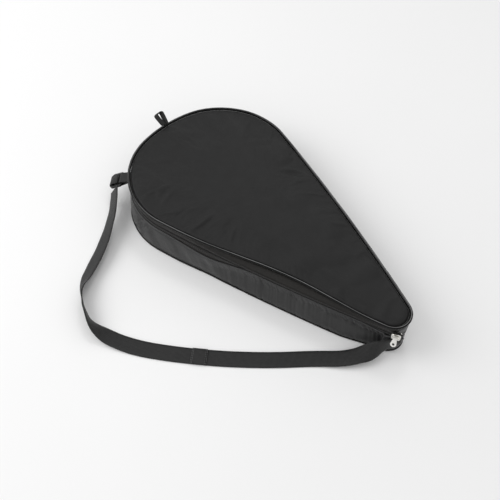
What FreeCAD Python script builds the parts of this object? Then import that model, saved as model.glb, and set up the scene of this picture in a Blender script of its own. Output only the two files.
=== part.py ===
"""A zipped, teardrop-shaped paddle case with a shoulder strap, lying on its back panel.

+X runs from the head to the tip, +Y towards the fabric hinge and +Z up. The origin is on the
underside of the back panel, half way along it. All lengths are in millimetres.
"""
import FreeCAD, Part
import math
import os

os.makedirs("parts", exist_ok=True)
V = FreeCAD.Vector

# Overall size and outline
LENGTH = 520.0
HEIGHT = 68.0
HEAD_R = 197.6
HEAD_HALF_TURN = 12.2
SHOULDER_R = 120.3
SIDE_R = 3375.0
TIP_R = 27.4
FRONT_PULL = 12.5            # how far the slack front edge is drawn in on the zipped side
PULL_SKEW = 1.25

# Fabric build-up
SHELL_T = 1.0
FOAM_T = 4.0
LINING_T = 0.6
PIPING_D = 4.5
PANEL_INSET = PIPING_D + 0.1
GUSSET_INSET = 1.6
TAPE_INSET = 2.7
TAPE_T = 0.7
BINDING_T = 1.4
BINDING_W = 6.0
GAP = 0.1                    # clearance between sewn layers

# Heights along the side wall, from the floor up
GUSSET_LOW = PIPING_D + 0.2
GUSSET_TOP = 44.5
TAPE_LOW = GUSSET_TOP - 5.0
COIL_H = 1.6
COIL_SPLIT = 51.9            # middle of the closed zip
COIL_HALF_GAP = 0.8
HINGE_HALF_GAP = 0.3
SLANT_LOW = 58.0
SLANT_TOP = HEIGHT - PIPING_D - 0.1
UPPER_GUSSET_LOW = SLANT_LOW + GAP
PANEL_TOP = HEIGHT - 1.0
LID_LINING_Z = PANEL_TOP - SHELL_T - FOAM_T - LINING_T

# Zip
TAIL = 24.0                  # zip end that runs straight on past the start of the tip
COIL_OUT, COIL_IN = 2.2, 4.2
SLIDER_LENGTH = 13.0
SLIDER_REACH = 16.0          # slider's middle, past the start of the tip
SLIDER_H = 10.8
PLATE_T = 1.3
PLATE_CLEAR = 0.6
PLATE_CORNER_R = 2.0
WEB_T = 0.8
WEB_LENGTH = 4.0
BRIDGE_D = 1.8
BRIDGE_HALF = 5.5
POST_D = 1.5
BRIDGE_OUT = 2.9             # bridge bar's axis, outside the outline
TAB_LENGTH = 13.5
TAB_W = 8.6
TAB_TOP_W = 5.4
TAB_T = 1.3
TAB_EYE_R = 2.3
TAB_HOLE_R = 1.9
TAB_PLAY = 0.35
TAB_SLOPE = 24.5             # outwards from hanging straight down

# Webbing
WEB_W = 25.0
WEB_THICK = 1.6
FLOOR_GAP = 0.3
ANCHOR_ANGLE = -30.0         # where the strap leaves the tip
ANCHOR_SPAN = 22.0
ANCHOR_Z = 30.0
RING_C = V(-246.0, -111.0, 30.0)
RING_ANGLE = 221.3           # outward direction of the ring, seen from above
RING_DROP = 25.0
RING_LENGTH, RING_W, RING_T = 23.0, 29.0, 3.0
RING_SLOT = 4.6
RING_BAR = 4.3
LOOP_WEB_W = 20.0
LOOP_INNER_R = 2.8
ROLL_POWER = 0.8             # how early the strap's ends roll up on edge
# The strap's route over the floor, from the ring to the tip. Both ends are straight runs.
STRAP_ROUTE = [(-239, -124, 27), (-210, -161, 12), (-178, -204, 1.1), (-152, -250, 1.1),
               (-124, -284, 1.1), (-86, -304, 1.1), (-42, -304, 1.1), (-2, -284, 1.1),
               (44, -249, 1.1), (98, -200, 1.1), (150, -151, 1.1), (190, -101, 1.1),
               (218, -67, 6), (240, -36, 18), (255.9, -14.3, 30)]
SPLICE_C = (80.0, -210.5)
SPLICE_ANGLE = 40.0
SPLICE_LENGTH = 24.0

# Hanging loop
LOOP_BASE = V(-260.0, 5.0, 66.9)
LOOP_LENGTH, LOOP_W, LOOP_SLOT, LOOP_T = 22.5, 20.0, 5.4, 1.6
LOOP_TILT = 45.0


def polar(radius, angle):
    """Point at a distance and a direction in degrees from the origin."""
    return V(radius * math.cos(math.radians(angle)), radius * math.sin(math.radians(angle)), 0)


def mirror(point):
    return V(point.x, -point.y, point.z)


def heading(vector):
    return math.degrees(math.atan2(vector.y, vector.x))


def lower_crossing(c1, r1, c2, r2):
    """The crossing of two circles that lies below the line from c1 to c2."""
    span = (c2 - c1).Length
    along = (r1 ** 2 - r2 ** 2 + span ** 2) / (2 * span)
    down = math.sqrt(r1 ** 2 - along ** 2)
    u = (c2 - c1) / span
    return c1 + u * along + V(u.y, -u.x, 0) * down


HEAD_ANGLE = 180 - HEAD_HALF_TURN
HEAD_C = V(-LENGTH / 2 + HEAD_R, 0, 0)
TIP_C = V(LENGTH / 2 - TIP_R, 0, 0)
FAR_SHOULDER_C = HEAD_C + polar(HEAD_R - SHOULDER_R, HEAD_ANGLE)
FAR_SIDE_C = lower_crossing(FAR_SHOULDER_C, SIDE_R - SHOULDER_R, TIP_C, SIDE_R - TIP_R)
NEAR_SHOULDER_C = mirror(FAR_SHOULDER_C)
NEAR_SIDE_C = mirror(FAR_SIDE_C)
SHOULDER_ANGLE = heading(FAR_SHOULDER_C - FAR_SIDE_C)
TIP_ANGLE = heading(TIP_C - FAR_SIDE_C)

# Tangent arcs of the outline, anticlockwise: centre, radius, first and last angle
TIP = (TIP_C, TIP_R, -TIP_ANGLE, TIP_ANGLE)
FAR_SIDE = (FAR_SIDE_C, SIDE_R, TIP_ANGLE, SHOULDER_ANGLE)
FAR_SHOULDER = (FAR_SHOULDER_C, SHOULDER_R, SHOULDER_ANGLE, HEAD_ANGLE)
HEAD = (HEAD_C, HEAD_R, HEAD_ANGLE, 360 - HEAD_ANGLE)
NEAR_SHOULDER = (NEAR_SHOULDER_C, SHOULDER_R, 360 - HEAD_ANGLE, 360 - SHOULDER_ANGLE)
NEAR_SIDE = (NEAR_SIDE_C, SIDE_R, 360 - SHOULDER_ANGLE, 360 - TIP_ANGLE)
TAIL_ANGLE = 360 - TIP_ANGLE + math.degrees(TAIL / SIDE_R)
ZIP_SIDE = (NEAR_SIDE_C, SIDE_R, 360 - SHOULDER_ANGLE, TAIL_ANGLE)
ZIP_PATH = [FAR_SHOULDER, HEAD, NEAR_SHOULDER, NEAR_SIDE]
HINGE_TIP = (TIP_C, TIP_R, -33.0, TIP_ANGLE)
HINGE_PATH = [HINGE_TIP, FAR_SIDE]
SLIDER_ANGLE = 360 - TIP_ANGLE + math.degrees(SLIDER_REACH / SIDE_R)


def arc_edge(arc, inset, z, backwards=False):
    centre, radius, first, last = arc
    up = V(0, 0, z)
    ends = [centre + polar(radius - inset, a) + up for a in (first, (first + last) / 2, last)]
    if backwards:
        ends.reverse()
    return Part.Arc(*ends).toShape()


def pulled_edge(arc, inset, z, pull):
    """The zipped side's edge, drawn in towards the middle by the pull and level at both ends."""
    centre, radius, first, last = arc
    points = []
    for i in range(9):
        s = i / 8
        angle = first + s * (last - first)
        draw = pull * math.sin(math.pi * s ** PULL_SKEW) ** 2
        points.append(centre + polar(radius - inset - draw, angle) + V(0, 0, z))
    curve = Part.BSplineCurve()
    curve.interpolate(Points=points, InitialTangent=polar(1, first + 90),
                      FinalTangent=polar(1, last + 90))
    return curve.toShape()


def outline(inset, z, pull=0.0):
    """Closed outline of the case, a given distance inside its widest edge."""
    arcs = [TIP, FAR_SIDE, FAR_SHOULDER, HEAD, NEAR_SHOULDER]
    edges = [arc_edge(arc, inset, z) for arc in arcs]
    edges.append(pulled_edge(NEAR_SIDE, inset, z, pull))
    return Part.Wire(edges)


def plate(inset, low, high, pull=0.0):
    return Part.Face(outline(inset, low, pull)).extrude(V(0, 0, high - low))


def ring_wall(inset, thickness, low, high):
    return plate(inset, low, high).cut(plate(inset + thickness, low, high))


def pull_at(z):
    """How far the lid's wall is drawn in at a height."""
    share = (z - SLANT_LOW) / (SLANT_TOP - SLANT_LOW)
    return FRONT_PULL * min(max(share, 0.0), 1.0)


def slanted_solid(inset, low, high):
    wires = [outline(inset, z, pull_at(z)) for z in (low, high)]
    return Part.makeLoft(wires, True, True)


def slanted_wall(inset, thickness, low, high):
    return slanted_solid(inset, low, high).cut(slanted_solid(inset + thickness, low, high))


def open_strip(arcs, inset, thickness, low, high):
    """Upright strip along a run of the outline's arcs."""
    outer = [arc_edge(arc, inset, low) for arc in arcs]
    inner = [arc_edge(arc, inset + thickness, low, True) for arc in reversed(arcs)]
    first = Part.LineSegment(inner[-1].lastVertex().Point, outer[0].firstVertex().Point)
    last = Part.LineSegment(outer[-1].lastVertex().Point, inner[0].firstVertex().Point)
    wire = Part.Wire(outer + [last.toShape()] + inner + [first.toShape()])
    return Part.Face(wire).extrude(V(0, 0, high - low))


def piping(z, pull=0.0):
    radius = PIPING_D / 2
    path = outline(radius, z, pull)
    start = TIP_C + polar(TIP_R - radius, -TIP_ANGLE) + V(0, 0, z)
    circle = Part.makeCircle(radius, start, polar(1, 90 - TIP_ANGLE))
    return path.makePipeShell([Part.Wire(circle)], True, False)


def save(name, shape):
    if shape.ShapeType == "Compound" and len(shape.Solids) == 1:
        shape = shape.Solids[0]
    shape.exportStep("parts/" + name + ".step")
    print(name, len(shape.Solids), shape.isValid(), round(shape.Volume / 1000, 2), "cm3")


def back_panel():
    foam_low = SHELL_T
    lining_low = SHELL_T + FOAM_T
    save("back_panel_shell", plate(PANEL_INSET, 0, SHELL_T))
    save("back_panel_foam", plate(PANEL_INSET, foam_low, lining_low))
    save("back_panel_lining", plate(PANEL_INSET, lining_low, lining_low + LINING_T))
    save("back_piping", piping(PIPING_D / 2 + GAP))
    low = lining_low + LINING_T + GAP
    save("back_seam_binding", ring_wall(TAPE_INSET, BINDING_T, low, low + BINDING_W))


def front_panel():
    foam_low = LID_LINING_Z + LINING_T
    shell_low = foam_low + FOAM_T
    save("front_panel_lining", plate(PANEL_INSET, LID_LINING_Z, foam_low, FRONT_PULL))
    save("front_panel_foam", plate(PANEL_INSET, foam_low, shell_low, FRONT_PULL))
    save("front_panel_shell", plate(PANEL_INSET, shell_low, PANEL_TOP, FRONT_PULL))
    save("front_piping", piping(HEIGHT - PIPING_D / 2, FRONT_PULL))
    inset = TAPE_INSET + TAPE_T + GAP
    binding = slanted_wall(inset, BINDING_T, SLANT_LOW + GAP, LID_LINING_Z - GAP)
    save("front_seam_binding", binding)


def side_wall():
    save("lower_gusset", ring_wall(GUSSET_INSET, SHELL_T, GUSSET_LOW, GUSSET_TOP))
    save("upper_gusset", slanted_wall(GUSSET_INSET, SHELL_T, UPPER_GUSSET_LOW, SLANT_TOP))
    low = GUSSET_TOP + GAP
    fold = COIL_SPLIT
    lower = open_strip(HINGE_PATH, GUSSET_INSET, SHELL_T, low, fold - HINGE_HALF_GAP)
    upper = open_strip(HINGE_PATH, GUSSET_INSET, SHELL_T, fold + HINGE_HALF_GAP,
                       UPPER_GUSSET_LOW - GAP)
    save("hinge_strip_lower", lower)
    save("hinge_strip_upper", upper)


def zip_halves():
    """Each half is a woven tape with a coil along its edge, and a straight tail at the tip."""
    tail = [(NEAR_SIDE_C, SIDE_R, 360 - TIP_ANGLE, TAIL_ANGLE)]
    coil_path = [FAR_SHOULDER, HEAD, NEAR_SHOULDER, ZIP_SIDE]
    coil_t = COIL_IN - COIL_OUT
    lower_coil = COIL_SPLIT - COIL_HALF_GAP - COIL_H
    upper_coil = COIL_SPLIT + COIL_HALF_GAP
    lower = open_strip(ZIP_PATH, TAPE_INSET, TAPE_T, TAPE_LOW, lower_coil)
    lower_tail = open_strip(tail, TAPE_INSET, TAPE_T, GUSSET_TOP + GAP, lower_coil)
    save("zip_tape_lower", lower.fuse(lower_tail).removeSplitter())
    save("zip_coil_lower", open_strip(coil_path, COIL_OUT, coil_t, lower_coil, lower_coil + COIL_H))
    straight = open_strip(ZIP_PATH, TAPE_INSET, TAPE_T, upper_coil + COIL_H, SLANT_LOW)
    upper_tail = open_strip(tail, TAPE_INSET, TAPE_T, upper_coil + COIL_H, SLANT_LOW)
    save("zip_tape_upper", straight.fuse(upper_tail).removeSplitter())
    save("zip_coil_upper", open_strip(coil_path, COIL_OUT, coil_t, upper_coil, upper_coil + COIL_H))


def zip_ends():
    """Stops crimped over the coil at both ends of each half, and a fabric tab behind the tail."""
    stop = math.degrees(1.2 / SIDE_R)
    first = TAIL_ANGLE + math.degrees(GAP / SIDE_R)
    end = [(NEAR_SIDE_C, SIDE_R, first, first + 2 * stop)]
    low = COIL_SPLIT - COIL_HALF_GAP - COIL_H
    save("zip_stop_tip", open_strip(end, COIL_OUT, COIL_IN - COIL_OUT, low, low + COIL_H))
    box_turn = math.degrees(3.0 / SHOULDER_R)
    centre, radius, start, _ = FAR_SHOULDER
    box = [(centre, radius, start - box_turn, start - math.degrees(GAP / SHOULDER_R))]
    save("zip_stop_hinge", open_strip(box, COIL_IN + 0.6, 1.4, low - 2, low + COIL_H))


def on_slider(shape):
    """Puts a shape made round the slider's middle, with -Y outwards, in its place on the zip."""
    shape.rotate(V(0, 0, 0), V(0, 0, 1), SLIDER_ANGLE + 90)
    shape.translate(NEAR_SIDE_C + polar(SIDE_R, SLIDER_ANGLE) + V(0, 0, COIL_SPLIT))
    return shape


def slider():
    """Two plates, joined at the nose by a web that runs between the coils, and a bridge."""
    half = SLIDER_LENGTH / 2
    outer_y = COIL_OUT - PLATE_CLEAR - PLATE_T
    inner_y = COIL_IN + PLATE_CLEAR

    def slider_plate(y):
        block = Part.makeBox(SLIDER_LENGTH, PLATE_T, SLIDER_H, V(-half, y, -SLIDER_H / 2))
        corners = [e for e in block.Edges if abs(e.tangentAt(0).y) > 0.9]
        return block.makeFillet(PLATE_CORNER_R, corners)

    web_y = outer_y + PLATE_T / 2
    web = Part.makeBox(WEB_LENGTH, inner_y + PLATE_T / 2 - web_y, WEB_T,
                       V(half - WEB_LENGTH, web_y, -WEB_T / 2))
    bar = Part.makeCylinder(BRIDGE_D / 2, 2 * BRIDGE_HALF, V(-BRIDGE_HALF, -BRIDGE_OUT, 0), V(1, 0, 0))
    shape = slider_plate(outer_y).fuse([slider_plate(inner_y), web, bar])
    for x in (-BRIDGE_HALF + POST_D, BRIDGE_HALF - POST_D):
        post = Part.makeCylinder(POST_D / 2, BRIDGE_OUT + web_y, V(x, -BRIDGE_OUT, 0), V(0, 1, 0))
        shape = shape.fuse(post)
    save("slider_body", on_slider(shape))


def pull_tab():
    """Tapered tab with a rounded end, a round hole and an eye round the slider's bridge."""
    reach = TAB_LENGTH - TAB_W / 2
    left = -TAB_TOP_W / 2
    side = [V(left, 0, 0), V(-TAB_W / 2, -reach, 0), V(0, -TAB_LENGTH, 0), V(TAB_W / 2, -reach, 0),
            V(-left, 0, 0)]
    edges = [Part.LineSegment(side[0], side[1]).toShape(), Part.Arc(*side[1:4]).toShape(),
             Part.LineSegment(side[3], side[4]).toShape(),
             Part.LineSegment(side[4], side[0]).toShape()]
    tab = Part.Face(Part.Wire(edges)).extrude(V(0, 0, TAB_T))
    tab.translate(V(0, 0, -TAB_T / 2))
    eye = Part.makeCylinder(TAB_EYE_R, TAB_TOP_W, V(left, 0, 0), V(1, 0, 0))
    bore = Part.makeCylinder(BRIDGE_D / 2 + TAB_PLAY, TAB_W, V(-TAB_W / 2, 0, 0), V(1, 0, 0))
    hole = Part.makeCylinder(TAB_HOLE_R, 2 * TAB_T, V(0, -reach, -TAB_T))
    tab = tab.fuse(eye).cut(bore).cut(hole)
    tab.rotate(V(0, 0, 0), V(1, 0, 0), 90 - TAB_SLOPE)
    tab.translate(V(0, -BRIDGE_OUT, 0))
    save("pull_tab", on_slider(tab.removeSplitter()))


def ribbon_section(point, direction, roll=0.0):
    """Rectangle of webbing across the route, flat at a roll of 0 and on its edge at 90."""
    flat = V(direction.x, direction.y, 0).normalize()
    across = V(-flat.y, flat.x, 0)
    turn = FreeCAD.Rotation(flat, roll)
    wide = turn.multVec(across) * (WEB_W / 2)
    thin = turn.multVec(V(0, 0, 1)) * (WEB_THICK / 2)
    corners = [point + wide + thin, point - wide + thin, point - wide - thin, point + wide - thin]
    return Part.makePolygon(corners + corners[:1])


def rising_run(low, high, first_heading, last_heading):
    """Straight run of webbing that rolls from flat to standing on its edge."""
    steps = 6
    sections = []
    for i in range(steps + 1):
        share = i / steps
        direction = first_heading * (1 - share) + last_heading * share
        sections.append(ribbon_section(low + (high - low) * share, direction, 90 * share ** ROLL_POWER))
    return Part.makeLoft(sections, True, True)


def rounded_route(points):
    """Straight runs joined by the largest tangent arcs that their lengths allow."""
    edges = []
    here = points[0]
    for before, corner, after in zip(points, points[1:], points[2:]):
        into = (corner - before).normalize()
        out = (after - corner).normalize()
        half_turn = into.getAngle(out) / 2
        trim = 0.45 * min((corner - before).Length, (after - corner).Length)
        print("strap radius", round(trim / math.tan(half_turn)))
        start = corner - into * trim
        end = corner + out * trim
        inward = (out - into).normalize()
        middle = corner + inward * (trim * math.tan(half_turn / 2))
        edges.append(Part.LineSegment(here, start).toShape())
        edges.append(Part.Arc(start, middle, end).toShape())
        here = end
    edges.append(Part.LineSegment(here, points[-1]).toShape())
    return Part.Wire(edges)


def strap():
    """Flat on the floor between two ends that rise and stand on edge."""
    route = [V(*point) for point in STRAP_ROUTE]
    level = WEB_THICK / 2 + FLOOR_GAP
    flat = [V(p.x, p.y, level) for p in route[2:-3]]
    path = rounded_route(flat)
    section = ribbon_section(flat[0], flat[1] - flat[0])
    shape = path.makePipeShell([section], True, False)
    length = path.Length
    for low, inner, before, high in ((flat[0], flat[1], route[1], route[0]),
                                     (flat[-1], flat[-2], route[-2], route[-1])):
        first = V(low.x - inner.x, low.y - inner.y, 0).normalize()
        last = V(high.x - before.x, high.y - before.y, 0).normalize()
        shape = shape.fuse(rising_run(low, high, first, last))
        length += (high - low).Length
    print("strap", round(length), "mm long,", round(length * WEB_W * WEB_THICK / 1000, 2), "cm3")
    save("shoulder_strap", shape)
    splice = Part.makeBox(SPLICE_LENGTH, WEB_W, WEB_THICK,
                          V(-SPLICE_LENGTH / 2, -WEB_W / 2, level + WEB_THICK / 2 + 0.05))
    splice.rotate(V(0, 0, 0), V(0, 0, 1), SPLICE_ANGLE)
    splice.translate(V(*SPLICE_C, 0))
    save("strap_splice", splice)


def strap_anchor():
    """Webbing box-stitched flat on the wall at the tip, where the strap starts."""
    centre, radius = TIP_C, TIP_R
    run = [(centre, radius, ANCHOR_ANGLE, ANCHOR_ANGLE + ANCHOR_SPAN)]
    inset = GUSSET_INSET - GAP / 2 - WEB_THICK
    low = ANCHOR_Z - WEB_W / 2
    save("strap_anchor", open_strip(run, inset, WEB_THICK, low, low + WEB_W))


def ring_place(shape):
    shape.rotate(V(0, 0, 0), V(0, 1, 0), RING_DROP)
    shape.rotate(V(0, 0, 0), V(0, 0, 1), RING_ANGLE)
    shape.translate(RING_C)
    return shape


def strap_ring():
    """Moulded two-slot ring with rounded ends."""
    block = Part.makeBox(RING_LENGTH, RING_W, RING_T, V(-RING_LENGTH / 2, -RING_W / 2, -RING_T / 2))
    upright = [e for e in block.Edges if abs(e.tangentAt(0).z) > 0.9]
    ring = block.makeFillet(5.0, upright)
    for side in (-1, 1):
        middle = side * (RING_LENGTH / 2 - RING_BAR - RING_SLOT / 2)
        slot = Part.makeBox(RING_SLOT, RING_W - 7, 2 * RING_T,
                            V(middle - RING_SLOT / 2, -RING_W / 2 + 3.5, -RING_T))
        ring = ring.cut(slot)
    save("strap_ring", ring_place(ring))


def ring_loop():
    """Doubled webbing from the top of the side wall, round the ring's inner bar."""
    place = FreeCAD.Rotation(V(0, 0, 1), RING_ANGLE) * FreeCAD.Rotation(V(0, 1, 0), RING_DROP)
    bar = RING_C + place.multVec(V(-RING_LENGTH / 2 + RING_BAR / 2, 0, 0))
    reach = bar - NEAR_SHOULDER_C
    root = NEAR_SHOULDER_C + polar(SHOULDER_R - GUSSET_INSET + WEB_THICK / 2, heading(reach))
    root.z = GUSSET_TOP - 4
    run = (bar - root).Length
    inner_r = LOOP_INNER_R
    outer_r = inner_r + WEB_THICK
    eye_start = 0.35 * run

    def drop(start, start_half, radius):
        points = [V(start, start_half, 0), V(run, radius, 0), V(run + radius, 0, 0),
                  V(run, -radius, 0), V(start, -start_half, 0)]
        edges = [Part.LineSegment(points[0], points[1]).toShape(), Part.Arc(*points[1:4]).toShape(),
                 Part.LineSegment(points[3], points[4]).toShape()]
        if start_half:
            edges.append(Part.LineSegment(points[4], points[0]).toShape())
        return Part.Face(Part.Wire(edges)).extrude(V(0, 0, LOOP_WEB_W))

    loop = drop(0, WEB_THICK, outer_r).cut(drop(eye_start, 0, inner_r))
    loop.translate(V(0, 0, -LOOP_WEB_W / 2))
    loop.rotate(V(0, 0, 0), V(1, 0, 0), 90)
    slope = math.degrees(math.asin((root.z - bar.z) / run))
    loop.rotate(V(0, 0, 0), V(0, 1, 0), slope)
    loop.rotate(V(0, 0, 0), V(0, 0, 1), heading(bar - root))
    loop.translate(root)
    save("ring_loop", loop)


def hanging_loop():
    """Tape loop sewn into the front seam at the middle of the head."""
    straight = LOOP_LENGTH - LOOP_W / 2
    tape = (LOOP_W - LOOP_SLOT) / 2

    def slot_shape(half, start, end):
        points = [V(start, -half, 0), V(end, -half, 0), V(end + half, 0, 0), V(end, half, 0),
                  V(start, half, 0)]
        edges = [Part.LineSegment(points[0], points[1]).toShape(), Part.Arc(*points[1:4]).toShape(),
                 Part.LineSegment(points[3], points[4]).toShape(),
                 Part.LineSegment(points[4], points[0]).toShape()]
        return Part.Face(Part.Wire(edges)).extrude(V(0, 0, LOOP_T))

    loop = slot_shape(LOOP_W / 2, 0, straight).cut(slot_shape(LOOP_SLOT / 2, 2, straight))
    loop.rotate(V(0, 0, 0), V(0, 1, 0), -LOOP_TILT)
    loop.rotate(V(0, 0, 0), V(0, 0, 1), 180)
    loop.translate(LOOP_BASE)
    save("hanging_loop", loop)


back_panel()
front_panel()
side_wall()
zip_halves()
zip_ends()
slider()
pull_tab()
strap()
strap_anchor()
strap_ring()
ring_loop()
hanging_loop()
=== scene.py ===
"""Looks for the zipped paddle case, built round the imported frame.

Shapes are worked out in millimetres in the frame's own axes and scaled to metres when a mesh is
made: +X from the head to the tip, +Y towards the fabric hinge, +Z up.
"""
import math

import bpy
import numpy as np
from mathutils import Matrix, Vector, noise


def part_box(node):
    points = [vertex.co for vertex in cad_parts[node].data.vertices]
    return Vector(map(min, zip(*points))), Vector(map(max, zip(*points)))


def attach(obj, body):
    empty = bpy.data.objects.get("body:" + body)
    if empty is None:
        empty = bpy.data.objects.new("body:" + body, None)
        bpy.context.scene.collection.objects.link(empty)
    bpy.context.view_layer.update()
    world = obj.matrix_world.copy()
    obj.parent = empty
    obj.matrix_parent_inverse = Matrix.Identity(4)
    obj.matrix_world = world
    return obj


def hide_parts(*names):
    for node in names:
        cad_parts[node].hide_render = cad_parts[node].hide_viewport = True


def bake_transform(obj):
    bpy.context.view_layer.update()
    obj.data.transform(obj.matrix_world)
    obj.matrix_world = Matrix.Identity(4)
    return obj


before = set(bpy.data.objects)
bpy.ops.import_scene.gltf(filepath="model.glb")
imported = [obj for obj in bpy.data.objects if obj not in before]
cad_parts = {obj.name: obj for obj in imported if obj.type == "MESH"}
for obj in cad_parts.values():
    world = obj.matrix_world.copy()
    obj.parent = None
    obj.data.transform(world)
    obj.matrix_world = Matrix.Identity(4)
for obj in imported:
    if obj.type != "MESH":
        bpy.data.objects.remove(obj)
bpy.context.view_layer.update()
MM = 0.001

# Outline, insets and heights, as in the frame
LENGTH = 520.0
HEAD_R = 197.6
HEAD_HALF_TURN = 12.2
SHOULDER_R = 120.3
SIDE_R = 3375.0
TIP_R = 27.4
FRONT_PULL = 12.5            # how far the front's near side is drawn in
PULL_SKEW = 1.25             # moves the deepest place of that towards the tip
PIPING_R = 2.25
BACK_PIPING_Z = 2.35
FRONT_PIPING_Z = 65.75
PANEL_INSET = 4.9
GUSSET_INSET = 1.6
TAPE_INSET = 2.7
GUSSET_LOW, GUSSET_TOP = 4.7, 44.5
TAPE_FOOT = 35.5             # the lower tape's edge, hidden behind the side wall
COIL_SPLIT = 51.9            # where the two coils meet
COIL_INSET = 3.2
SLANT_LOW, SLANT_TOP = 58.0, 63.4
LID_WALL_LOW = 58.1
BACK_BINDING_SPAN = (5.8, 11.6)
FRONT_BINDING_SPAN = (58.2, 61.2)
TAIL = 24.0                  # how far the zip runs on round the tip
HINGE_TIP_ANGLE = -33.0      # where the fabric hinge ends round the tip
GUSSET_T = 0.9
TAPE_T = 0.7
BINDING_T = 1.3
STEP = 2.5                   # spacing of points round the outline
FINE_STEP = 1.25

# Where the side wall changes its shape. Distances run anticlockwise round the outline, from the
# near end of the tip's arc.
SLACK_RUN = 250.0            # the slack part under the zip, measured back from the tip
TIP_RUN = 66.0               # the tip's arc
SAG_RUN = (955.0, 1035.0)    # where the top sags outwards
FLARE_RUN = (800.0, 1235.0)  # where the foot stands out
SHOULDER_RUN = (845.0, 965.0)  # where the foot stands out further
TIP_TUCK = (42.0, 90.0)      # where the wall draws in, past the tip
CREASE_AT = 838.0            # the creases by the strap's ring
SECOND_CREASE = 22.0         # how far past the first one the second one is
LEAN_TOP = 50.5              # the height where the lower tape stops leaning with the wall

# The rolled hem on the side wall's top: its height, then rows below the top with their swell
HEM = 2.6
HEM_ROLL = ((2.4, 0.6), (0.9, 0.7), (0.2, 0.2))

# Strap: the route's points in metres, from the ring to the sewn end, then millimetres
STRAP_ROUTE = [(-.2365, -.1255, .027), (-.213, -.1456, .0225), (-.190, -.1742, .017),
               (-.169, -.204, .013), (-.153, -.234, .0105), (-.1415, -.257, .0095),
               (-.126, -.2755, .0115), (-.105, -.2875, .0135), (-.080, -.2965, .0105),
               (-.0525, -.2965, .004), (-.007, -.2775, .0011), (.040, -.2445, .0011),
               (.0955, -.1985, .0011), (.1475, -.1478, .0011), (.189, -.1005, .0011),
               (.221, -.072, .006), (.242, -.040, .018), (.2559, -.0143, .030)]
STRAP_W = 25.0
STRAP_T = 1.6
STRAP_STEP = 3.0
FLOOR_GAP = 0.3
LAP_START, LAP_LENGTH = 402.0, 26.0

UP = np.array([0.0, 0.0, 1.0])


# ---------------------------------------------------------------- outline

def polar(radius, angle):
    turn = math.radians(angle)
    return np.array([radius * math.cos(turn), radius * math.sin(turn)])


def lower_crossing(c1, r1, c2, r2):
    """The crossing of two circles that lies below the line from c1 to c2."""
    span = np.linalg.norm(c2 - c1)
    along = (r1 ** 2 - r2 ** 2 + span ** 2) / (2 * span)
    u = (c2 - c1) / span
    return c1 + u * along + np.array([u[1], -u[0]]) * math.sqrt(r1 ** 2 - along ** 2)


def heading(vector):
    return math.degrees(math.atan2(vector[1], vector[0]))


MIRROR = np.array([1.0, -1.0])
HEAD_ANGLE = 180 - HEAD_HALF_TURN
HEAD_C = np.array([-LENGTH / 2 + HEAD_R, 0.0])
TIP_C = np.array([LENGTH / 2 - TIP_R, 0.0])
FAR_SHOULDER_C = HEAD_C + polar(HEAD_R - SHOULDER_R, HEAD_ANGLE)
FAR_SIDE_C = lower_crossing(FAR_SHOULDER_C, SIDE_R - SHOULDER_R, TIP_C, SIDE_R - TIP_R)
NEAR_SHOULDER_C = FAR_SHOULDER_C * MIRROR
NEAR_SIDE_C = FAR_SIDE_C * MIRROR
SHOULDER_ANGLE = heading(FAR_SHOULDER_C - FAR_SIDE_C)
TIP_ANGLE = heading(TIP_C - FAR_SIDE_C)

# Tangent arcs, anticlockwise: centre, radius, first and last angle, share of the front's pull
TIP = (TIP_C, TIP_R, -TIP_ANGLE, TIP_ANGLE, 0)
FAR_SIDE = (FAR_SIDE_C, SIDE_R, TIP_ANGLE, SHOULDER_ANGLE, 0)
FAR_SHOULDER = (FAR_SHOULDER_C, SHOULDER_R, SHOULDER_ANGLE, HEAD_ANGLE, 0)
HEAD = (HEAD_C, HEAD_R, HEAD_ANGLE, 360 - HEAD_ANGLE, 0)
NEAR_SHOULDER = (NEAR_SHOULDER_C, SHOULDER_R, 360 - HEAD_ANGLE, 360 - SHOULDER_ANGLE, 0)
NEAR_SIDE = (NEAR_SIDE_C, SIDE_R, 360 - SHOULDER_ANGLE, 360 - TIP_ANGLE, 1)
TAIL_RUN = (NEAR_SIDE_C, SIDE_R, 360 - TIP_ANGLE, 360 - TIP_ANGLE + math.degrees(TAIL / SIDE_R), 0)
HINGE_TIP = (TIP_C, TIP_R, HINGE_TIP_ANGLE, TIP_ANGLE, 0)
WHOLE = [TIP, FAR_SIDE, FAR_SHOULDER, HEAD, NEAR_SHOULDER, NEAR_SIDE]
ZIP_RUN = [FAR_SHOULDER, HEAD, NEAR_SHOULDER, NEAR_SIDE, TAIL_RUN]
HINGE_RUN = [HINGE_TIP, FAR_SIDE]


class Route:
    """Points along a run of the outline, with their outward directions and distances along it."""

    def __init__(self, arcs, closed=False, start=0.0, step=STEP):
        xy, out, give, along = [], [], [], []
        travelled = start
        for number, (centre, radius, first, last, pulled) in enumerate(arcs):
            length = radius * math.radians(last - first)
            count = max(3, round(length / step))
            keep_end = number == len(arcs) - 1 and not closed
            for i in range(count + keep_end):
                share = i / count
                angle = first + share * (last - first)
                xy.append(centre + polar(radius, angle))
                out.append(polar(1, angle))
                give.append(pulled * math.sin(math.pi * share ** PULL_SKEW) ** 2)
                along.append(travelled + share * length)
            travelled += length
        self.xy = np.array(xy)
        self.out = np.array(out)
        self.give = np.array(give)
        self.along = np.array(along)
        self.length = travelled - start
        self.closed = closed

    def row(self, inset, z, pull=0.0):
        """The run at a depth inside the outline and a height, as points in space."""
        depth = inset + pull * self.give
        flat = self.xy - self.out * np.reshape(depth, (-1, 1))
        return np.column_stack([flat, np.broadcast_to(z, len(flat))])


RIM = Route(WHOLE, closed=True)


def pull_at(z):
    return FRONT_PULL * float(np.clip((z - SLANT_LOW) / (SLANT_TOP - SLANT_LOW), 0, 1))


# ---------------------------------------------------------------- meshes

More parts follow.
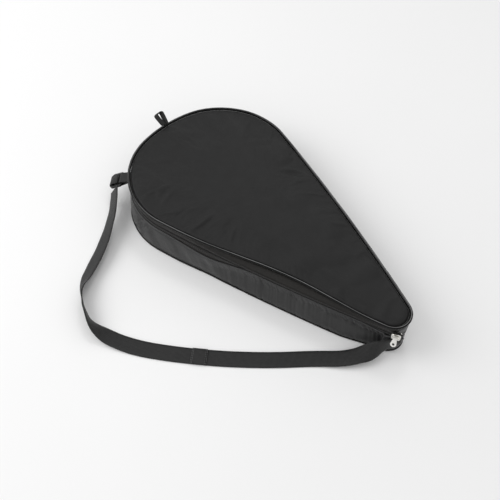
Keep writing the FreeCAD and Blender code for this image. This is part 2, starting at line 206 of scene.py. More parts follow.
def make_object(name, points, faces, attributes=None):
    """A smooth-shaded mesh object from points in millimetres."""
    mesh = bpy.data.meshes.new(name)
    mesh.from_pydata((np.asarray(points) * MM).tolist(), [], faces)
    mesh.validate()
    for key, values in (attributes or {}).items():
        layer = mesh.attributes.new(key, "FLOAT", "POINT")
        layer.data.foreach_set("value", np.asarray(values, np.float32) * MM)
    mesh.polygons.foreach_set("use_smooth", [True] * len(mesh.polygons))
    obj = bpy.data.objects.new(name, mesh)
    bpy.context.scene.collection.objects.link(obj)
    return obj


def grid_faces(rows, columns, wrap_rows=False, wrap_columns=False):
    faces = []
    for r in range(rows if wrap_rows else rows - 1):
        for c in range(columns if wrap_columns else columns - 1):
            below = (r + 1) % rows
            right = (c + 1) % columns
            faces.append((r * columns + c, r * columns + right,
                          below * columns + right, below * columns + c))
    return faces


def section_mesh(name, sections, closed, along, across):
    """A solid skin through closed sections, capped at both ends unless the run is closed."""
    rows, columns, _ = sections.shape
    faces = grid_faces(rows, columns, wrap_rows=closed, wrap_columns=True)
    if not closed:
        faces.append(tuple(reversed(range(columns))))
        faces.append(tuple(range((rows - 1) * columns, rows * columns)))
    attributes = {"along": np.repeat(along, columns), "across": np.tile(across, rows)}
    return make_object(name, sections.reshape(-1, 3), faces, attributes)


def still(route, z):
    return 0.0


def wall(name, route, levels, thickness, bulge=still, lift=still):
    """Standing strip of fabric. Levels are heights with insets; bulge moves points outwards."""
    heights = [z for z, _ in levels]
    outside = []
    inside = []
    for z, inset in levels:
        push = bulge(route, z)
        height = z + lift(route, z)
        outside.append(route.row(inset - push, height, pull_at(z)))
        inside.append(route.row(inset - push + thickness, height, pull_at(z)))
    sections = np.stack(outside + inside[::-1], axis=1)
    return section_mesh(name, sections, route.closed, route.along, heights + heights[::-1])


def levels_between(low, high, count, inset):
    """Evenly spaced levels for a wall, all at one inset."""
    return [(low + (high - low) * i / count, inset) for i in range(count + 1)]


def tube(name, centres, side, up, radius, sides, closed, along):
    """Round tube; side and up are the two directions across it at each point."""
    turns = np.linspace(0, 2 * math.pi, sides, endpoint=False)
    ring = (np.cos(turns)[None, :, None] * side[:, None, :]
            + np.sin(turns)[None, :, None] * up[:, None, :])
    sections = centres[:, None, :] + ring * np.reshape(radius, (-1, 1, 1))
    return section_mesh(name, sections, closed, along, turns)


def eased(x):
    """Smooth step from 0 to 1 while x goes from 0 to 1."""
    x = np.clip(x, 0, 1)
    return x * x * (3 - 2 * x)


def window(x, start, end, width):
    """1 between start and end, easing to 0 over this width at both."""
    return eased((x - start) / width + 0.5) * eased((end - x) / width + 0.5)


def wander(x, scale, seed, height):
    """Smooth seeded noise along a line."""
    return height * np.array([noise.noise(Vector((v / scale, seed * 7.3, seed))) for v in x])


# ---------------------------------------------------------------- materials

class Nodes:
    """A principled material with a few helpers for its node tree."""

    def __init__(self, name, roughness, **constants):
        self.material = bpy.data.materials.new(name)
        self.material.use_nodes = True
        self.tree = self.material.node_tree
        self.shader = self.tree.nodes["Principled BSDF"]
        self.shader.inputs["Roughness"].default_value = roughness
        for key, value in constants.items():
            self.shader.inputs[key.replace("_", " ")].default_value = value
        self.normal = None

    def add(self, kind, **values):
        node = self.tree.nodes.new(kind)
        for key, value in values.items():
            if key in node.inputs:
                node.inputs[key].default_value = value
            else:
                setattr(node, key, value)
        return node

    def link(self, source, target):
        self.tree.links.new(source, target)

    def math(self, operation, first, second=0.0):
        """A sum on values or sockets. MULTIPLY_ADD adds 0.5, the third input's own value."""
        node = self.add("ShaderNodeMath", operation=operation)
        for socket, value in zip(node.inputs, (first, second)):
            if isinstance(value, (int, float)):
                socket.default_value = value
            else:
                self.link(value, socket)
        return node.outputs[0]

    def place(self):
        return self.add("ShaderNodeTexCoord").outputs["Object"]

    def noise(self, scale, detail=3.0):
        node = self.add("ShaderNodeTexNoise", Scale=scale, Detail=detail)
        self.link(self.place(), node.inputs["Vector"])
        return node.outputs["Fac"]

    def lines(self, attribute, pitch):
        """A wave from 0 to 1 with this pitch in metres along a mesh attribute."""
        value = self.add("ShaderNodeAttribute", attribute_name=attribute).outputs["Fac"]
        wave = self.math("SINE", self.math("MULTIPLY", value, 2 * math.pi / pitch))
        return self.math("MULTIPLY_ADD", wave, 0.5)

    def weave(self, pitch):
        """Crossed threads on any surface, in the object's own axes."""
        split = self.add("ShaderNodeSeparateXYZ")
        self.link(self.place(), split.inputs[0])
        waves = []
        for axis in ("X", "Y", "Z"):
            turn = self.math("MULTIPLY", split.outputs[axis], 2 * math.pi / pitch)
            waves.append(self.math("SINE", turn))
        return self.math("MULTIPLY", self.math("ADD", waves[0], waves[2]), waves[1])

    def colour(self, dark, light, factor, low=0.3, high=0.7):
        ramp = self.add("ShaderNodeValToRGB")
        ramp.color_ramp.elements[0].position = low
        ramp.color_ramp.elements[0].color = (*dark, 1)
        ramp.color_ramp.elements[1].position = high
        ramp.color_ramp.elements[1].color = (*light, 1)
        self.link(factor, ramp.inputs["Fac"])
        self.link(ramp.outputs["Color"], self.shader.inputs["Base Color"])

    def rough(self, factor, low, high):
        spread = self.add("ShaderNodeMapRange")
        spread.inputs["To Min"].default_value = low
        spread.inputs["To Max"].default_value = high
        self.link(factor, spread.inputs["Value"])
        self.link(spread.outputs[0], self.shader.inputs["Roughness"])

    def bump(self, factor, distance, strength=1.0):
        node = self.add("ShaderNodeBump", Strength=strength, Distance=distance)
        self.link(factor, node.inputs["Height"])
        if self.normal is not None:
            self.link(self.normal, node.inputs["Normal"])
        self.normal = node.outputs["Normal"]
        self.link(self.normal, self.shader.inputs["Normal"])


def grey(level, warmth=0.0):
    return (level * (1 + warmth), level, level * (1 - warmth))


def coated_nylon(name, level, roughness, sheen, specular):
    m = Nodes(name, roughness, Sheen_Weight=sheen, Sheen_Roughness=0.5, Specular_IOR_Level=specular)
    m.colour(grey(level * 0.82), grey(level * 1.15), m.noise(22, 5.0))
    m.rough(m.noise(60, 4.0), roughness - 0.06, roughness + 0.08)
    m.bump(m.weave(0.0011), 0.00006, 0.6)
    m.bump(m.noise(140, 4.0), 0.0003, 0.5)
    return m.material


def glossy_piping():
    """Black vinyl with a painted highlight: its top ridge is painted lighter, more in some places than
    others.
    """
    m = Nodes("piping_vinyl", 0.2, Specular_IOR_Level=0.2)
    # Painted highlight: a narrow band along the top of the tube gets a lighter base colour, varying in
    # strength along the piping.
    across = m.add("ShaderNodeAttribute", attribute_name="across").outputs["Fac"]
    ridge = m.math("SINE", m.math("DIVIDE", across, MM))
    ridge = m.math("POWER", m.math("MAXIMUM", ridge, 0.0), 60.0)
    painted_ridge_light = m.math("MULTIPLY", ridge, m.noise(14, 2.0))
    m.colour(grey(0.002), grey(0.2), painted_ridge_light, 0.12, 0.55)
    m.rough(m.noise(90), 0.16, 0.24)
    m.bump(m.noise(200), 0.00006, 0.5)
    return m.material


def ribbed(name, level, rib, roughness, warmth=0.0):
    """Webbing and tape: ribs across the run, with a thread line along it."""
    depth = 0.0003
    m = Nodes(name, roughness, Sheen_Weight=0.05, Sheen_Roughness=0.4, Specular_IOR_Level=0.25)
    ribs = m.lines("along", rib)
    mottle = m.math("MULTIPLY_ADD", m.noise(230, 5.0), 0.9)
    # Painted shade and light: the ribs' grooves are painted darker and their crests lighter, following
    # the bump, with random mottle on top.
    painted_ridge_light = m.math("MULTIPLY", ribs, mottle)
    m.colour(grey(level * 0.35, warmth), grey(level * 1.6, warmth), painted_ridge_light, 0.05, 0.95)
    m.bump(ribs, depth, 0.8)
    m.bump(m.lines("across", rib * 1.6), depth * 0.6, 0.6)
    m.bump(m.noise(150), 0.0004, 0.4)
    return m.material


def soft_lining():
    m = Nodes("lining", 0.85, Sheen_Weight=0.3, Sheen_Roughness=0.6)
    m.colour(grey(0.082), grey(0.104), m.noise(320, 4.0))
    m.bump(m.noise(900, 2.0), 0.0004, 0.8)
    return m.material


def moulded_plastic(name, level):
    m = Nodes(name, 0.38)
    m.colour(grey(level * 0.85), grey(level * 1.1), m.noise(70))
    m.bump(m.noise(700, 2.0), 0.0001, 0.6)
    return m.material


def polished_nickel():
    m = Nodes("nickel", 0.16, Metallic=1.0)
    m.colour((0.72, 0.71, 0.68), (0.86, 0.85, 0.82), m.noise(120))
    m.rough(m.noise(240), 0.1, 0.24)
    m.bump(m.noise(500, 2.0), 0.00004)
    return m.material


PANEL_NYLON = coated_nylon("panel_nylon", 0.006, 0.5, 0.03, 0.27)
GUSSET_NYLON = coated_nylon("gusset_nylon", 0.016, 0.36, 0.05, 0.5)
PIPING = glossy_piping()
LINING = soft_lining()
BINDING = ribbed("binding_tape", 0.014, 0.0011, 0.6)
ZIP_TAPE = ribbed("zip_tape", 0.0125, 0.0012, 0.6, 0.1)
COIL = moulded_plastic("zip_coil", 0.012)
WEBBING = ribbed("webbing", 0.021, 0.0016, 0.55)
RING = moulded_plastic("ring_plastic", 0.012)
NICKEL = polished_nickel()
THREAD = ribbed("thread", 0.1, 0.0008, 0.6)


def turn_outwards(mesh):
    """Flips a closed mesh whose faces all point inwards. No vertex moves."""
    mesh.calc_loop_triangles()
    places = np.array([v.co for v in mesh.vertices])
    a, b, c = places[np.array([t.vertices for t in mesh.loop_triangles]).T]
    if np.sum(a * np.cross(b, c)) < 0:
        mesh.flip_normals()


def dress(obj, material, slot_name, body, *replaced):
    """Gives a new piece its material, its body and the nodes that it stands for. The slot name is not
    used.
    """
    turn_outwards(obj.data)
    obj.data.materials.append(material)
    if body:
        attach(obj, body)
    if replaced:
        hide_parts(*replaced)
    return obj


def dress_node(node, material, bevel):
    """Gives a CAD node that keeps its shape a finished surface and rounded edges."""
    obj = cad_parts[node]
    obj.data.materials.clear()
    obj.data.materials.append(material)
    soften = obj.modifiers.new("edges", "BEVEL")
    soften.width = bevel * MM
    soften.segments = 2
    soften.limit_method = "ANGLE"
    soften.angle_limit = math.radians(40)


# ---------------------------------------------------------------- camera

def camera():
    azimuth, elevation = math.radians(46.0), math.radians(55.1)
    target = Vector((-11.3, -37.2, 0)) * MM
    distance = 1.0995
    back = Vector((math.sin(azimuth) * math.cos(elevation),
                   -math.cos(azimuth) * math.cos(elevation), math.sin(elevation)))
    data = bpy.data.cameras.new("camera")
    data.lens = 50.4
    data.sensor_width = 36.0
    obj = bpy.data.objects.new("camera", data)
    bpy.context.scene.collection.objects.link(obj)
    obj.location = target + back * distance
    obj.rotation_mode = "QUATERNION"
    obj.rotation_quaternion = (-back).to_track_quat("-Z", "Y")
    bpy.context.scene.camera = obj


camera()


# ---------------------------------------------------------------- strap

def measured(points):
    """Distances along a line of points."""
    return np.concatenate([[0], np.cumsum(np.linalg.norm(np.diff(points, axis=0), axis=1))])


def route_line():
    """The strap's centreline in millimetres, read from its spline and evenly spaced."""
    curve = bpy.data.curves.new("strap_line", "CURVE")
    curve.dimensions = "3D"
    spline = curve.splines.new("NURBS")
    spline.points.add(len(STRAP_ROUTE) - 1)
    for point, place in zip(spline.points, STRAP_ROUTE):
        point.co = (*place, 1)
    spline.order_u = 3
    spline.use_endpoint_u = True
    spline.resolution_u = 16
    carrier = bpy.data.objects.new("strap_line", curve)
    mesh = bpy.data.meshes.new_from_object(carrier)
    raw = np.array([v.co for v in mesh.vertices]) / MM
    bpy.data.objects.remove(carrier)
    travelled = measured(raw)
    even = np.linspace(0, travelled[-1], round(travelled[-1] / STRAP_STEP) + 1)
    return np.column_stack([np.interp(even, travelled, raw[:, i]) for i in range(3)]), even


def smooth_steps(keys, x):
    """Eases between keyed values."""
    out = np.full(len(x), keys[0][1], float)
    for (x0, y0), (x1, y1) in zip(keys, keys[1:]):
        out = np.where(x >= x0, y0 + (y1 - y0) * eased((x - x0) / (x1 - x0)), out)
    return out


def ribbon(name, line, along, roll, width, thickness, lift=0.0):
    """Webbing on a line: roll 0 lies flat, 90 stands on edge. Lift raises it off the line."""
    ahead = np.gradient(line, axis=0)
    ahead[:, 2] = 0
    ahead /= np.linalg.norm(ahead, axis=1)[:, None]
    level = np.column_stack([-ahead[:, 1], ahead[:, 0], np.zeros(len(line))])
    turn = np.radians(roll)[:, None]
    wide = np.cos(turn) * level + np.sin(turn) * UP
    face = -np.sin(turn) * level + np.cos(turn) * UP
    half, edge = width / 2, thickness / 2
    outline = [(half - 0.5, edge), (half * 0.6, edge), (0, edge), (-half * 0.6, edge),
               (-half + 0.5, edge), (-half, 0), (-half + 0.5, -edge), (-half * 0.6, -edge),
               (0, -edge), (half * 0.6, -edge), (half - 0.5, -edge), (half, 0)]
    sections = np.stack([line + wide * a + face * (b + lift) for a, b in outline], axis=1)
    return section_mesh(name, sections, False, along, [a for a, _ in outline])


def capsules(name, stitches_at, length, radius):
    """Rounded stitches, each with a middle, a direction along it and a direction outwards."""
    points, faces = [], []
    sides = 6
    turns = np.linspace(0, 2 * math.pi, sides, endpoint=False)
    ring = [(math.cos(turn), math.sin(turn)) for turn in turns]
    profile = ((-0.5, 0.25), (-0.35, 1.0), (0.35, 1.0), (0.5, 0.25))
    quads = grid_faces(len(profile), sides, wrap_columns=True)
    last_ring = (len(profile) - 1) * sides
    for middle, ahead, out in stitches_at:
        side = np.cross(ahead, out)
        first = len(points)
        for run, size in profile:
            centre = middle + ahead * (run * length)
            for a, b in ring:
                points.append(centre + (out * a + side * b) * (size * radius))
        faces += [tuple(first + i for i in quad) for quad in quads]
        faces.append(tuple(first + i for i in reversed(range(sides))))
        faces.append(tuple(first + last_ring + i for i in range(sides)))
    return make_object(name, points, faces)


def lap_stitches(line, along):
    """Rows of thread across both ends of the strap's stitched overlap."""

    def place(distance):
        return np.array([np.interp(distance, along, line[:, i]) for i in range(3)])

    stitches_at = []
    height = STRAP_T * 1.5 + 0.1
    for at in (2.0, 4.0, LAP_LENGTH - 4.0, LAP_LENGTH - 2.0):
        middle = place(LAP_START + at)
        ahead = place(LAP_START + at + 1) - middle
        ahead[2] = 0
        ahead /= np.linalg.norm(ahead)
        across = np.array([-ahead[1], ahead[0], 0.0])
        for step in np.arange(-10.5, 10.6, 3.5):
            stitches_at.append((middle + across * step + UP * height, across, UP))
    seam = capsules("lap_stitches", stitches_at, length=2.8, radius=0.4)
    return dress(seam, THREAD, "webbing", "case")


def shoulder_strap():
    line, along = route_line()
    end = along[-1]
    # Leaning on its edge at the ring, turned over at the elbow, flat, and on its edge at the tip
    roll = smooth_steps([(0, 58), (25, 54), (60, 46), (100, 36), (135, 32), (155, 36), (205, 86),
                         (225, 96), (285, 172), (320, 180), (end - 58, 180), (end - 8, 268),
                         (end, 270)], along)
    stand = STRAP_W / 2 * np.abs(np.sin(np.radians(roll))) + STRAP_T / 2 + FLOOR_GAP
    line[:, 2] = np.maximum(line[:, 2], stand)
    strap = ribbon("strap", line, along, roll, STRAP_W, STRAP_T)
    dress(strap, WEBBING, "webbing", "case", "shoulder_strap")
    lap = (along > LAP_START) & (along < LAP_START + LAP_LENGTH)
    on_top = -STRAP_T - 0.05  # negative, because the webbing lies turned over here
    splice = ribbon("strap_lap", line[lap], along[lap], roll[lap], STRAP_W, STRAP_T, on_top)
    dress(splice, WEBBING, "webbing", "case", "strap_splice")
    seam = lap_stitches(line, along)


shoulder_strap()


# ---------------------------------------------------------------- panels

CENTRE = np.array([-40.0, 0.0])  # the point that a panel's rings close in on
SEAM_DIP, SEAM_REACH = 2.8, 1.3  # the edge rolls down into the seam
STITCH_DIP, STITCH_DEPTH, STITCH_WIDTH = 0.6, 6.0, 1.6  # the groove of the seam's stitches
QUIET_EDGE = 14.0                # folds and drift fade out this near to the edge
DRIFT, DRIFT_SCALE = 0.9, 55     # the height and size of a slow unevenness

# Soft folds in the front panel: place, direction, half length, width and height
FRONT_FOLDS = [
    (-160, -104, 77, 30, 4.5, 1.5), (-133, -106, 111, 28, 4.5, 1.3), (-146, -84, 95, 30, 5, -1.0),
    (-95, -93, 86, 18, 4.5, 1.3), (-64, -90, 89, 28, 6, 2.2), (-82, -102, 120, 16, 4, 1.3),
    (-76, -78, 90, 24, 5, -1.1), (-15, -73, 117, 22, 5, 1.3), (-30, -66, 115, 20, 6, -1.0),
    (-154, -52, 70, 26, 8, -1.0), (-34, 91, 26, 26, 4.5, 1.9), (-32, 82, 26, 24, 5, -1.3),
    (-122, 92, 53, 24, 6, 1.2), (-5, 72, 46, 20, 5, 1.2), (10, 64, 50, 20, 5, -1.0),
    (44, 62, 62, 22, 5, 1.0), (-73, 102, 33, 22, 6, -1.2), (-220, 19, 50, 30, 6, 1.3),
    (-218, -21, 65, 40, 7, 1.0), (-208, -62, 67, 34, 6, 1.0), (71, -22, 11, 60, 10, 1.7),
    (163, -13, -1, 50, 8, 1.5), (218, 8, 100, 14, 4, 1.1), (-100, 10, 60, 60, 22, 0.8),
    (20, 20, 40, 70, 20, -0.8),
]

# The short cloth run that settles the front panel: fabric a little too large for its seam
SETTLE_FRAMES = 16
SETTLE_REACH = 3.0           # how far a point may move, in millimetres
SETTLE_MIDDLE, SETTLE_EDGE = 0.12, 0.5  # the share of the run kept in the middle, and added at the edge
CLOTH_SETTINGS = {
    "quality": 5, "mass": 0.15, "tension_stiffness": 18, "compression_stiffness": 18,
    "shear_stiffness": 8, "bending_stiffness": 0.35, "vertex_group_mass": "held",
    "shrink_min": -0.025, "use_pressure": True, "uniform_pressure_force": 1.2,
}


def folds_height(xy, folds):
    """Sum of soft ridges: each has a place, a direction, a length, a width and a height."""
    total = np.zeros(len(xy))
    for x, y, direction, length, width, height in folds:
        c, s = math.cos(math.radians(direction)), math.sin(math.radians(direction))
        dx, dy = xy[:, 0] - x, xy[:, 1] - y
        run = (dx * c + dy * s) / length
        off = (dy * c - dx * s + 0.12 * length * run ** 2) / width
        total += height * np.exp(-off ** 2) * np.exp(-run ** 4)
    return total


def panel(name, pull, flat_z, face_z, crown, seed, folds=(), rings=36, top_up=True):
    """Padded sheet: a crowned face with a stitched edge, a flat back and a closed rim."""
    edge = RIM.row(PANEL_INSET, 0.0, pull)[:, :2]
    reach = np.sum((edge - CENTRE) * RIM.out, axis=1)
    face, back = [], []
    for share in np.linspace(1, 0, rings, endpoint=False):
        xy = CENTRE + (edge - CENTRE) * share
        depth = (1 - share) * reach
        rise = crown * (1 - share ** 4)
        roll_in = -SEAM_DIP * np.exp(-depth / SEAM_REACH)
        groove = STITCH_DIP * np.exp(-((depth - STITCH_DEPTH) / STITCH_WIDTH) ** 2)
        quiet = 1 - np.exp(-(depth / QUIET_EDGE) ** 2)
        drift = np.array([noise.noise(Vector((x / DRIFT_SCALE, y / DRIFT_SCALE, seed)))
                          for x, y in xy])
        z = rise + (roll_in - groove) + quiet * (DRIFT * drift + folds_height(xy, folds))
        face.append(np.column_stack([xy, z]))
        back.append(np.column_stack([xy, np.zeros(len(xy))]))
    points = []
    for rows, level, scale in ((face, face_z, 1 if top_up else -1), (back, flat_z, 0)):
        for row in rows:
            points.append(np.column_stack([row[:, :2], level + scale * row[:, 2]]))
        points.append(np.array([[*CENTRE, level + scale * crown]]))
    count = len(edge)
    sheet = rings * count + 1
    faces = []
    for side in (0, 1):
        first = side * sheet
        for quad in grid_faces(rings, count, wrap_columns=True):
            corners = tuple(first + i for i in quad)
            faces.append(corners if side else corners[::-1])
        innermost = first + (rings - 1) * count
        for i in range(count):
            triangle = (innermost + i, innermost + (i + 1) % count, first + sheet - 1)
            faces.append(triangle if side else triangle[::-1])
    for i in range(count):
        j = (i + 1) % count
        faces.append((i, j, sheet + j, sheet + i))
    if not top_up:
        faces = [corners[::-1] for corners in faces]
    return make_object(name, np.concatenate(points), faces)


def edge_share(places):
    """0 in the middle of a panel, rising to 1 near its edge."""
    flat = places[:, :2] / MM - CENTRE
    rim = RIM.xy - CENTRE
    rim_turn = np.arctan2(rim[:, 1], rim[:, 0])
    order = np.argsort(rim_turn)
    reach = np.interp(np.arctan2(flat[:, 1], flat[:, 0]), rim_turn[order],
                      np.linalg.norm(rim, axis=1)[order], period=2 * math.pi)
    return eased((np.linalg.norm(flat, axis=1) / reach - 0.35) / 0.5)


def settle(obj):
    """Lets the fabric find its own creases, held at its seam and its back."""
    before = np.array([v.co for v in obj.data.vertices])
    held = obj.vertex_groups.new(name="held")
    sheet = len(before) // 2
    seam = len(RIM.xy) * 2
    held.add(list(range(seam)) + list(range(sheet, 2 * sheet)), 1.0, "REPLACE")
    cloth = obj.modifiers.new("settle", "CLOTH")
    for key, value in CLOTH_SETTINGS.items():
        setattr(cloth.settings, key, value)
    cloth.settings.effector_weights.gravity = 0.0
    cloth.collision_settings.use_collision = False
    scene = bpy.context.scene
    for frame_number in range(1, SETTLE_FRAMES + 1):
        scene.frame_set(frame_number)
    settled = obj.evaluated_get(bpy.context.evaluated_depsgraph_get())
    after = np.array([v.co for v in settled.data.vertices])
    obj.modifiers.remove(cloth)
    obj.vertex_groups.remove(held)
    scene.frame_set(1)
    kept = SETTLE_MIDDLE + SETTLE_EDGE * edge_share(before)
    move = (after - before) * kept[:, None]
    far = np.linalg.norm(move, axis=1)
    move *= np.minimum(1, SETTLE_REACH * MM / np.maximum(far, 1e-9))[:, None]
    obj.data.vertices.foreach_set("co", (before + move).ravel())
    obj.data.update()


def panels():
    front = panel("front_pad", FRONT_PULL, flat_z=62.1, face_z=67.0, crown=2.0,
                  folds=FRONT_FOLDS, seed=3.0, rings=70)
    settle(front)
    dress(front, PANEL_NYLON, "panel_nylon", "lid", "front_panel_shell", "front_panel_foam")
    back = panel("back_pad", 0.0, flat_z=0.9, face_z=5.0, crown=0.8, seed=8.0, top_up=False)
    dress(back, PANEL_NYLON, "panel_nylon", "case", "back_panel_shell", "back_panel_foam")
    lid_lining = panel("front_lining", FRONT_PULL, flat_z=61.4, face_z=61.95, crown=0.4,
                       seed=5.0, top_up=False)
    dress(lid_lining, LINING, "lining", "lid", "front_panel_lining")
    case_lining = panel("back_lining", 0.0, flat_z=5.05, face_z=5.6, crown=0.4, seed=6.0)
    dress(case_lining, LINING, "lining", "case", "back_panel_lining")


panels()


# ---------------------------------------------------------------- side wall

def piping(name, z, pull, body, node, seed, push=0.0):
    """Piping round the whole outline, a little uneven and never below the floor."""
    count = len(RIM.xy)
    wave = wander(RIM.along, 38.0, seed, 0.55) + wander(RIM.along, 11.0, seed + 1, 0.18)
    # The unevenness fades out where the run closes on itself
    fade = np.clip(np.minimum(RIM.along, RIM.length - RIM.along) / 20.0, 0, 1)
    centres = RIM.row(PIPING_R - push, z, pull)
    centres[:, 2] += wave * fade
    side = np.column_stack([RIM.out, np.zeros(count)])
    radius = PIPING_R + wander(RIM.along, 7.0, seed + 2, 0.12) * fade
    centres[:, 2] = np.maximum(centres[:, 2], radius + 0.05)
    up = np.tile(UP, (count, 1))
    cord = tube(name, centres, side, up, radius, sides=14, closed=True, along=RIM.along)
    dress(cord, PIPING, "piping_vinyl", body, node)


def slack(route):
    """Where the side wall hangs slack under the zip: the half next to the tip."""
    near = window(route.along, RIM.length - SLACK_RUN, RIM.length + 200, 140)
    return np.maximum(near, 0.35 * window(route.along, -200, TIP_RUN, 30))


def sag(route):
    """Where the side wall's top sags outwards, next to the shoulder."""
    return window(route.along, *SAG_RUN, 110)


def flare(route):
    """How far the back seam stands outside the outline along the near side."""
    near = 5.5 * window(route.along, *FLARE_RUN, 60) + 2.5 * window(route.along, *SHOULDER_RUN, 60)
    return near - 2.5 * window(route.along, *TIP_TUCK, 30)


def top_push(route):
    """How far the side wall's top stands outside its own place."""
    lean = 6.5 * window(route.along, RIM.length - SLACK_RUN, RIM.length - 12, 100)
    return 3.5 * sag(route) - lean - 1.5 * window(route.along, *TIP_TUCK, 30)


def tape_bulge(route, z):
    """The lower tape leans with the side wall below the coil."""
    share = np.clip((LEAN_TOP - z) / (LEAN_TOP - GUSSET_TOP), 0, 1)
    return top_push(route) * share


def gusset_lift(route, z):
    """The side wall's top drops where it sags outwards."""
    height = (z - GUSSET_LOW) / (GUSSET_TOP - GUSSET_LOW)
    return -3.5 * sag(route) * height ** 2


def gusset_bulge(route, z):
    """Full towards the head, hollow and puckered under the zip towards the tip.

    Each term is a depth in millimetres times the part of the wall where it shows.
    """
    height = min(1.0, (z - GUSSET_LOW) / (GUSSET_TOP - GUSSET_LOW - HEM))
    arch = max(0.0, math.sin(math.pi * height))
    loose = slack(route)
    lean = flare(route) * (1 - height) + top_push(route) * height
    belly = 1.4 * arch ** 0.4 * (1 - loose)
    foot = 1.4 * math.exp(-((height - 0.12) / 0.13) ** 2) * loose
    hollow = -4.0 * math.exp(-((height - 0.6) / 0.22) ** 2) * loose
    upper = min(1.0, 0.3 + 1.2 * height) * (1 - height ** 8)
    fine = wander(route.along + 0.3 * z, 3.4, 21.0, 2.8) * loose * upper
    waves = wander(route.along + 0.5 * z, 17.0, 31.0, 2.4) * arch
    first_at = CREASE_AT + 0.8 * z
    second_at = CREASE_AT + SECOND_CREASE + 0.5 * z
    crease = window(route.along, first_at - 4, first_at + 4, 5)
    second = window(route.along, second_at - 3, second_at + 3, 4)
    fold = -2.4 * (crease + 0.7 * second) * arch ** 0.5
    return lean + np.clip(belly + foot + hollow + fine + waves + fold, -7.0, 1.6)


def stitches(name, route, inset, z, body, bulge=still):
    """A row of sewn thread along a wall."""
    spacing = 3.4
    depth = inset - bulge(route, z) + np.zeros(len(route.along))
    stitches_at = []
    for at in np.arange(route.along[0] + spacing, route.along[-1] - spacing, spacing):
        x, y, out_x, out_y, inside = [np.interp(at, route.along, values) for values in
                                      (*route.xy.T, *route.out.T, depth)]
        out = np.array([out_x, out_y, 0.0])
        ahead = np.array([-out_y, out_x, 0.0])
        stitches_at.append((np.array([x, y, z]) - out * inside, ahead, out))
    seam = capsules(name, stitches_at, length=2.3, radius=0.28)
    dress(seam, THREAD, "binding_tape", body)


def side_wall():
    piping("back_edge", BACK_PIPING_Z, 0.0, "case", "back_piping", 41.0, flare(RIM))
    piping("front_edge", FRONT_PIPING_Z, FRONT_PULL, "lid", "front_piping", 51.0)
    levels = levels_between(GUSSET_LOW, GUSSET_TOP - HEM, 16, GUSSET_INSET)
    levels += [(GUSSET_TOP - down, GUSSET_INSET - swell) for down, swell in HEM_ROLL]
    fine_rim = Route(WHOLE, closed=True, step=FINE_STEP)
    gusset = wall("gusset", fine_rim, levels, GUSSET_T, gusset_bulge, gusset_lift)
    dress(gusset, GUSSET_NYLON, "gusset_nylon", "case", "lower_gusset")
    levels = levels_between(LID_WALL_LOW, SLANT_TOP, 4, GUSSET_INSET)
    lid_wall = wall("lid_wall", RIM, levels, GUSSET_T)
    dress(lid_wall, ZIP_TAPE, "zip_tape", "lid", "upper_gusset")
    levels = levels_between(*BACK_BINDING_SPAN, 4, TAPE_INSET)
    lower_binding = wall("back_binding", RIM, levels, BINDING_T)
    dress(lower_binding, BINDING, "binding_tape", "case", "back_seam_binding")
    levels = levels_between(*FRONT_BINDING_SPAN, 2, TAPE_INSET + GUSSET_T)
    upper_binding = wall("front_binding", RIM, levels, BINDING_T)
    dress(upper_binding, BINDING, "binding_tape", "lid", "front_seam_binding")


side_wall()


# ---------------------------------------------------------------- zip

ZIP_START = sum(radius * math.radians(last - first)
                for _, radius, first, last, _ in (TIP, FAR_SIDE))
ZIP = Route(ZIP_RUN, start=ZIP_START)
TAPE_GAP = 1.0               # from the split to each tape's edge
COIL_GAP = 0.95              # from the split to each coil's middle
COIL_PITCH = 1.5
COIL_DEPTH, COIL_HEIGHT = 0.7, 0.55
COIL_WIRE_R = 0.28


def coil(name, z, body, node):
    """One nylon coil: a flattened helix that runs along the tape's edge."""
    per_turn = 8
    count = int(ZIP.length / COIL_PITCH) * per_turn
    along = np.linspace(ZIP.along[0], ZIP.along[-1], count)
    angle = np.arange(count) * 2 * math.pi / per_turn
    xy = np.column_stack([np.interp(along, ZIP.along, ZIP.xy[:, i]) for i in range(2)])
    out = np.column_stack([np.interp(along, ZIP.along, ZIP.out[:, i]) for i in range(2)])
    flat = xy - out * (COIL_INSET + COIL_DEPTH * np.cos(angle))[:, None]
    centres = np.column_stack([flat, z + COIL_HEIGHT * np.sin(angle)])
    ahead = np.gradient(centres, axis=0)
    ahead /= np.linalg.norm(ahead, axis=1)[:, None]
    side = np.cross(ahead, UP)
    side /= np.maximum(np.linalg.norm(side, axis=1), 1e-6)[:, None]
    up = np.cross(side, ahead)
    wire = tube(name, centres, side, up, COIL_WIRE_R, sides=4, closed=False, along=along)
    dress(wire, COIL, "zip_coil", body, node)


def zip_parts():
    levels = levels_between(TAPE_FOOT, COIL_SPLIT - TAPE_GAP, 9, TAPE_INSET)
    lower = wall("lower_tape", ZIP, levels, TAPE_T, tape_bulge)
    dress(lower, ZIP_TAPE, "zip_tape", "case", "zip_tape_lower")
    levels = levels_between(COIL_SPLIT + TAPE_GAP, SLANT_LOW, 3, TAPE_INSET)
    upper = wall("upper_tape", ZIP, levels, TAPE_T)
    dress(upper, ZIP_TAPE, "zip_tape", "lid", "zip_tape_upper")
    coil("lower_coil", COIL_SPLIT - COIL_GAP, "case", "zip_coil_lower")
    coil("upper_coil", COIL_SPLIT + COIL_GAP, "lid", "zip_coil_upper")
    for z in (46.2, 48.0):
        stitches(f"tape_stitches_{z:.0f}", ZIP, TAPE_INSET, z, "case", tape_bulge)
    stitches("lid_stitches", ZIP, TAPE_INSET, 56.2, "lid")
    for node in ("zip_stop_tip", "zip_stop_hinge"):
        dress_node(node, COIL, 0.15)
    dress_node("slider_body", NICKEL, 0.25)
    dress_node("pull_tab", NICKEL, 0.25)


zip_parts()


